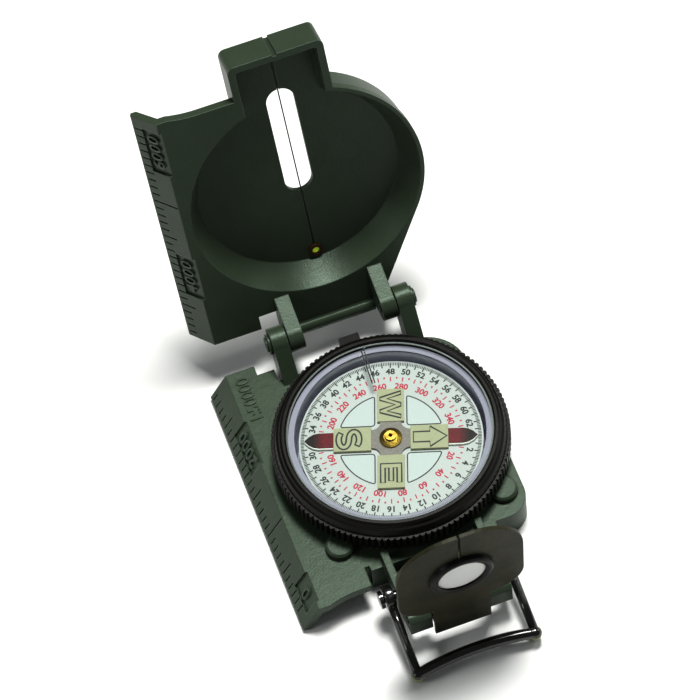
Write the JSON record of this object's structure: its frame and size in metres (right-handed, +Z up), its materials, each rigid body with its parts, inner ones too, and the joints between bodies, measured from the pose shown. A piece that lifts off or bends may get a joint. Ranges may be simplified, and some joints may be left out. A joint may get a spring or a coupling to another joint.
{
  "type": "sighting compass",
  "caption": "Folding sighting compass with a pivoted dial under a turning toothed bezel, a slotted cover with a sighting wire, a folding lens sight, a map ruler and a thumb loop.",
  "frame": {"origin": "on the underside of the base, straight below the dial's pivot", "axes": "+Y along the line of sight from the rear sight towards the cover, +X to the user's right, +Z up; metres"},
  "size_m": [0.0596, 0.1201, 0.0791],
  "materials": {
    "green_enamel": "gloss",
    "blackened_steel": "satin",
    "capsule_metal": "satin",
    "clear_glass": "gloss",
    "seal_rubber": "matte",
    "brass": "satin",
    "spring_steel": "satin",
    "pin_enamel": "gloss",
    "dial_white": "matte",
    "magnet_steel": "satin",
    "needle_red": "gloss",
    "lume_pale": "matte",
    "smoked_clear": "gloss",
    "jewel_red": "gloss",
    "bezel_black": "gloss",
    "marker_black": "matte",
    "lume_green": "matte",
    "sight_olive": "gloss",
    "loop_black": "gloss"
  },
  "bodies": {
    "base": {"base_casting": "green_enamel", "back_plate": "green_enamel", "back_plate_screws": "blackened_steel", "capsule_cup": "capsule_metal", "capsule_crystal": "clear_glass", "crystal_seal": "seal_rubber", "pivot_post": "brass", "bezel_snap_ring": "spring_steel", "hinge_pin_left": "pin_enamel", "hinge_pin_right": "pin_enamel", "sight_pin": "blackened_steel", "loop_stud_left": "pin_enamel", "loop_stud_right": "pin_enamel"},
    "dial": {"dial_card": "dial_white", "dial_magnet": "magnet_steel", "needle_bar": "needle_red", "luminous_plates": "lume_pale", "centre_plate": "smoked_clear", "jewel_cap": "brass", "jewel_bearing": "jewel_red"},
    "bezel": {"bezel_ring": "bezel_black", "bezel_glass": "clear_glass", "bezel_marker": "marker_black"},
    "cover": {"cover_casting": "green_enamel", "sighting_wire": "blackened_steel", "wire_plug": "blackened_steel", "luminous_dot": "lume_green", "dot_ring": "brass"},
    "rear_sight": {"sight_plate": "sight_olive", "sight_lens": "clear_glass", "lens_ring": "sight_olive"},
    "loop": {"thumb_loop": "loop_black"}
  },
  "joints": [
    {"name": "cover_hinge", "type": "hinge", "parent": "base", "child": "cover", "pos_m": [0, 0.033, 0.013], "axis": [1, 0, 0], "range_deg": [-72, 107]},
    {"name": "bezel_spin", "type": "hinge", "parent": "base", "child": "bezel", "pos_m": [0, 0, 0.0116], "axis": [0, 0, 1], "continuous": true},
    {"name": "dial_spin", "type": "hinge", "parent": "base", "child": "dial", "pos_m": [0, 0, 0.0117], "axis": [0, 0, 1], "continuous": true},
    {"name": "rear_sight_hinge", "type": "hinge", "parent": "base", "child": "rear_sight", "pos_m": [0, -0.042, 0.0093], "axis": [1, 0, 0], "range_deg": [-74, 0]},
    {"name": "thumb_loop_hinge", "type": "hinge", "parent": "base", "child": "loop", "pos_m": [0, -0.0345, 0.008], "axis": [1, 0, 0], "range_deg": [-48, 75]}
  ]
}
